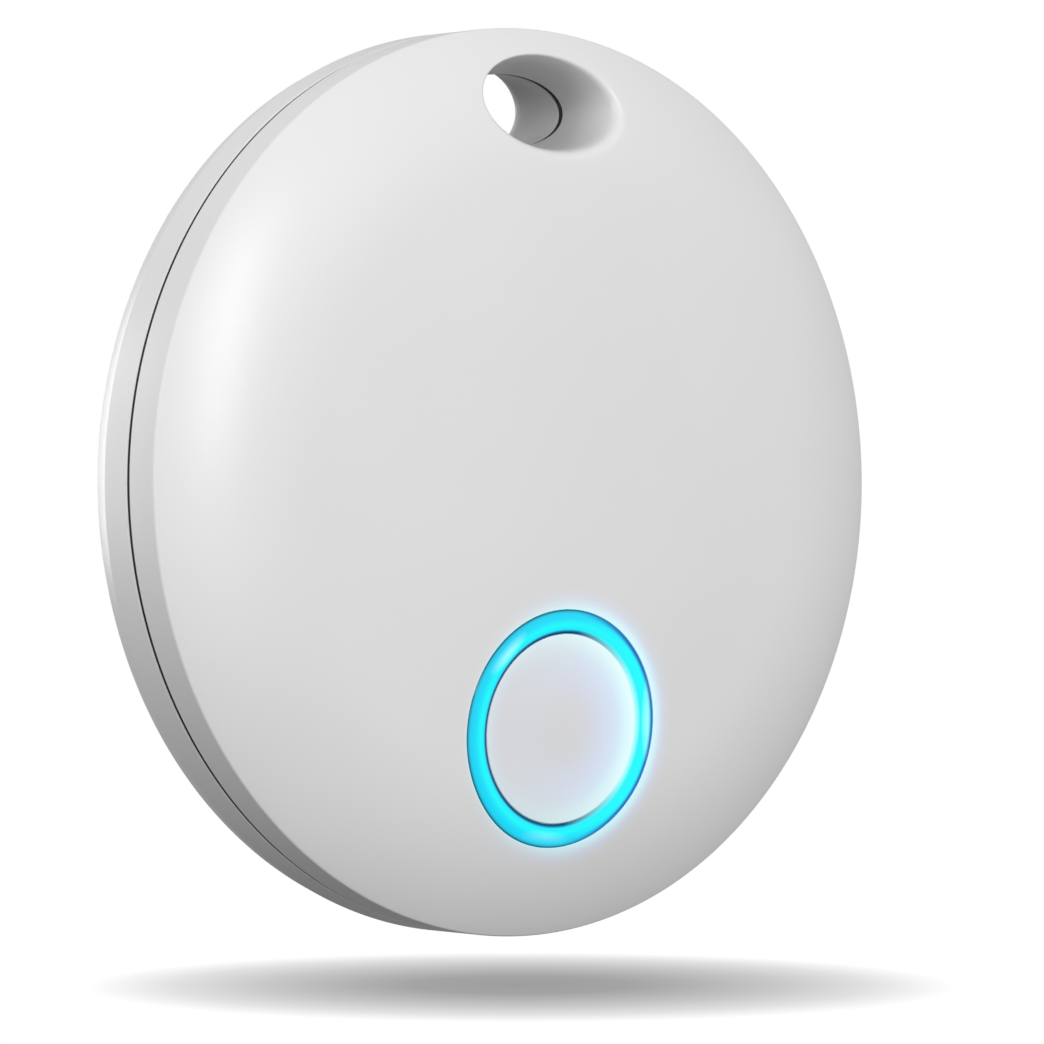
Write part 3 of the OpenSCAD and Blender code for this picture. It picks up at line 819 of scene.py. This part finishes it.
def make_camera():
    back = Vector((sin(VIEW_TURN) * cos(VIEW_RISE), -cos(VIEW_TURN) * cos(VIEW_RISE),
                   sin(VIEW_RISE)))
    right = Vector((cos(VIEW_TURN), sin(VIEW_TURN), 0))
    up = back.cross(right)
    middle = row(0, 0, 0) + (right * VIEW_RIGHT - up * VIEW_DOWN) * MM
    data = bpy.data.cameras.new("camera")
    data.lens = LENS
    data.sensor_width = 36
    data.clip_start = 0.01
    data.clip_end = 50
    camera = bpy.data.objects.new("camera", data)
    turned = Matrix((right, up, back)).transposed().to_4x4()
    camera.matrix_world = leaning(Matrix.Translation(middle + back * VIEW_DISTANCE * MM) @ turned)
    bpy.context.scene.collection.objects.link(camera)
    bpy.context.scene.camera = camera


# The soft light of the studio: from which side, how much from all heights, how much more from above.
SKY = (("X", 1, 0.36, 0.0), ("Y", -1, 0.25, 1.38), ("Y", 1, 0.0, 1.196))
# Softboxes: direction, width and height in metres, power in watts.
SOFTBOXES = (("front_box", (-0.27, -0.90, 0.34), 0.14, 0.34, 1.32),
             ("low_box", (-0.3, -0.95, -0.15), 0.14, 0.3, 0.11),
             ("left_box", (-1.0, -0.1, 0.27), 0.3, 0.3, 1.25),
             ("back_box", (-0.3, 1.0, 0.1), 0.3, 0.3, 1.2))
SOFTBOX_DISTANCE = 0.6

# The floor lies this many radii under the disc's middle. Its painted shadow is an oval in the floor's
# own space, in metres, with a grey for each share of the oval's radius.
FLOOR_DROP = 1.114
SHADE_PLACE = (0.0009, 0.0, 0)
SHADE_SIZE = (0.0182, 0.0165, 1)
SHADE_GREYS = ((0, 0.34), (0.25, 0.37), (0.4, 0.45), (0.6, 0.58), (0.8, 0.75), (0.93, 0.91), (1.0, 1.0))


def area_light(name, direction, width, height, power):
    """A softbox that faces the tag from a direction in the frame."""
    data = bpy.data.lights.new(name, "AREA")
    data.shape = "RECTANGLE"
    data.size = width
    data.size_y = height
    data.energy = power
    lamp = bpy.data.objects.new(name, data)
    way = Vector(direction).normalized()
    lamp.location = row(0, 0, 0) + way * SOFTBOX_DISTANCE
    lamp.rotation_euler = way.to_track_quat("Z", "Y").to_euler()
    bpy.context.scene.collection.objects.link(lamp)


def floor_material(name):
    """White paper with a painted shadow: one soft oval of shade under the tag."""
    material, tree, shader = new_material(name)
    place = mapped(tree, "TEXTURE", Location=SHADE_PLACE, Scale=SHADE_SIZE)
    shade_at = ramp(tree, vector_math(tree, "LENGTH", place), greys(SHADE_GREYS))
    shader.inputs["Base Color"].default_value = (0, 0, 0, 1)
    shader.inputs["Specular IOR Level"].default_value = 0.0
    link(tree, shade_at, shader.inputs["Emission Color"])
    shader.inputs["Emission Strength"].default_value = 1.0
    return material


def make_floor():
    floor_z = row(0, -FLOOR_DROP * CASE_R, 0).z
    bpy.ops.mesh.primitive_plane_add(size=40, location=(0, 0, floor_z))
    floor = bpy.context.active_object
    floor.name = "floor"
    floor.matrix_world = leaning(floor.matrix_world @ Matrix.Rotation(VIEW_TURN, 4, "Z"))
    floor.data.materials.append(floor_material("floor_white"))
    # The sky lights the tag from below as well, so the floor neither lights nor shades it.
    floor.visible_diffuse = False
    floor.visible_glossy = False
    floor.visible_shadow = False


def make_world():
    """A white background for the camera, and the soft light of the studio for everything else."""
    world = bpy.data.worlds.new("studio")
    bpy.context.scene.world = world
    world.use_nodes = True
    tree = world.node_tree
    seen = tree.nodes["Background"]
    seen.inputs["Color"].default_value = (1, 1, 1, 1)
    fill = tree.nodes.new("ShaderNodeBackground")
    fill.inputs["Color"].default_value = (1, 1, 1, 1)
    way = split(tree, tree.nodes.new("ShaderNodeTexCoord").outputs["Generated"])
    height = compute(tree, "POWER", span(tree, way["Z"], -1, 1, 0, 1), 2)
    total = 0.0
    for axis, sign, share, above in SKY:
        facing = compute(tree, "POWER", span(tree, way[axis], -sign, sign, 0, 1), 3)
        level = compute(tree, "MULTIPLY_ADD", height, above, share)
        total = compute(tree, "MULTIPLY_ADD", facing, level, total)
    link(tree, total, fill.inputs["Strength"])
    path = tree.nodes.new("ShaderNodeLightPath")
    mix = tree.nodes.new("ShaderNodeMixShader")
    link(tree, path.outputs["Is Camera Ray"], mix.inputs["Fac"])
    link(tree, fill.outputs["Background"], mix.inputs[1])
    link(tree, seen.outputs["Background"], mix.inputs[2])
    link(tree, mix.outputs["Shader"], tree.nodes["World Output"].inputs["Surface"])


def make_stage():
    bpy.context.scene.view_settings.view_transform = "Standard"
    make_floor()
    for softbox in SOFTBOXES:
        area_light(*softbox)
    make_world()


# ---------- finishes ----------

# Painted light: the ring's light painted as a glow into the face and into the button, for around_axis.
FACE_PAINTED_GLOW = (-4.5, [
    (4.9, (0, 0, 0)), (4.97, (0, 0, 0)), (4.975, (0, 0.16, 0.22)), (5.05, (0, 0.05, 0.07)),
    (5.15, (0, 0.01, 0.02)), (5.4, (0, 0, 0)), (6.5, (0, 0, 0))], [
    (4.9, (0, 0, 0)), (4.97, (0, 0, 0)), (4.975, (0.04, 0.34, 0.40)), (5.2, (0.02, 0.22, 0.30)),
    (5.4, (0, 0.09, 0.19)), (5.6, (0, 0.025, 0.08)), (6.0, (0, 0, 0)), (6.5, (0, 0, 0))])
BUTTON_PAINTED_GLOW = (-3.0, [
    (0.0, (0, 0, 0.006)), (2.4, (0, 0, 0.01)), (3.2, (0, 0.01, 0.03)), (3.6, (0, 0.04, 0.08)),
    (3.95, (0, 0.09, 0.14))], [
    (0.0, (0, 0, 0.006)), (1.2, (0, 0.02, 0.08)), (2.2, (0.01, 0.08, 0.24)),
    (3.0, (0.02, 0.16, 0.31)), (3.5, (0.06, 0.30, 0.34)), (3.95, (0.16, 0.36, 0.36))])
MATERIALS = {
    "front_case": shell_plastic("front_case_plastic", FACE_PAINTED_GLOW),
    "rear_case": shell_plastic("rear_case_plastic"),
    "ring_light_guide": light_guide("lit_acrylic"),
    "push_button": shell_plastic("button_plastic", BUTTON_PAINTED_GLOW),
    "gasket": plain("gasket_rubber", (0.012, 0.012, 0.013), 0.7, vary=0.15, relief=0.003),
}

steel = brushed("nickel_steel", (0.72, 0.72, 0.71))
chip = plain("chip_epoxy", (0.035, 0.036, 0.04), 0.55, vary=0.15, spot=900, relief=0.003)
gold = plain("gold_plate", (0.86, 0.64, 0.28), 0.26, metal=1.0, vary=0.06)
glue = plain("clear_glue", (0.72, 0.74, 0.76), 0.2, vary=0.05)
nylon = plain("black_nylon", (0.06, 0.06, 0.065), 0.5, vary=0.1)
lid = plain("plated_lid", (0.74, 0.73, 0.70), 0.28, metal=1.0, vary=0.05, stretch=(1, 1, 6))

CAD_FINISHES = {
    "cover_seal": plain("silicone", (0.33, 0.35, 0.37), 0.6, vary=0.08),
    "battery_pad": plain("closed_cell_foam", (0.045, 0.048, 0.052), 0.9, vary=0.3, spot=2500,
                         grain=5000, relief=0.03),
    "battery_frame": plain("frame_plastic", (0.10, 0.105, 0.115), 0.48, vary=0.05, relief=0.003),
    "ring_adhesive": glue,
    "buzzer_adhesive": glue,
    "switch_base": nylon,
    "switch_plunger": nylon,
    "switch_dome": plain("spring_steel", (0.72, 0.72, 0.72), 0.25, metal=1.0),
    "switch_frame": plain("stamped_steel", (0.70, 0.70, 0.69), 0.3, metal=1.0),
    "circuit_board": board_material("solder_mask"),
    "bluetooth_chip": chip,
    "driver_chip": chip,
    "radio_crystal": lid,
    "clock_crystal": lid,
    "chip_antenna": plain("antenna_ceramic", (0.80, 0.77, 0.70), 0.5, vary=0.08, spot=1200),
    "capacitors": plain("capacitor_ceramic", (0.42, 0.28, 0.16), 0.45, vary=0.15, spot=1500),
    "resistors": plain("resistor_glaze", (0.05, 0.05, 0.055), 0.35, vary=0.15, spot=1500),
    "buzzer_coil": plain("ferrite", (0.17, 0.175, 0.18), 0.6, vary=0.12, spot=1500, relief=0.005),
    "ring_leds": plain("led_epoxy", (0.90, 0.87, 0.70), 0.2, vary=0.05),
    "test_pads": gold,
    "negative_contact": gold,
    "positive_contact": gold,
    "buzzer_springs": gold,
    "buzzer_plate": plain("rolled_brass", (0.80, 0.60, 0.28), 0.3, metal=1.0, vary=0.07),
    "buzzer_ceramic": plain("silvered_ceramic", (0.80, 0.79, 0.76), 0.35, metal=0.6, vary=0.06),
    "battery_can": steel,
    "battery_cap": steel,
    "battery_gasket": plain("gasket_plastic", (0.05, 0.05, 0.055), 0.4, vary=0.1),
    "battery_cathode": plain("pressed_powder", (0.04, 0.04, 0.04), 0.9, vary=0.2, relief=0.01),
    "battery_separator": plain("fleece", (0.82, 0.82, 0.80), 0.9, vary=0.06, relief=0.01),
    "battery_anode": plain("lithium_foil", (0.60, 0.60, 0.62), 0.4, metal=1.0, vary=0.08),
}


def finish_cad_nodes():
    """Gives the pieces that keep their CAD mesh their materials."""
    for name, material in CAD_FINISHES.items():
        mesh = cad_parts[name].data
        mesh.materials.clear()
        mesh.materials.append(material)


make_camera()
make_front_case()
make_rear_case()
make_gasket()
make_light_ring()
make_button()
finish_cad_nodes()
make_stage()
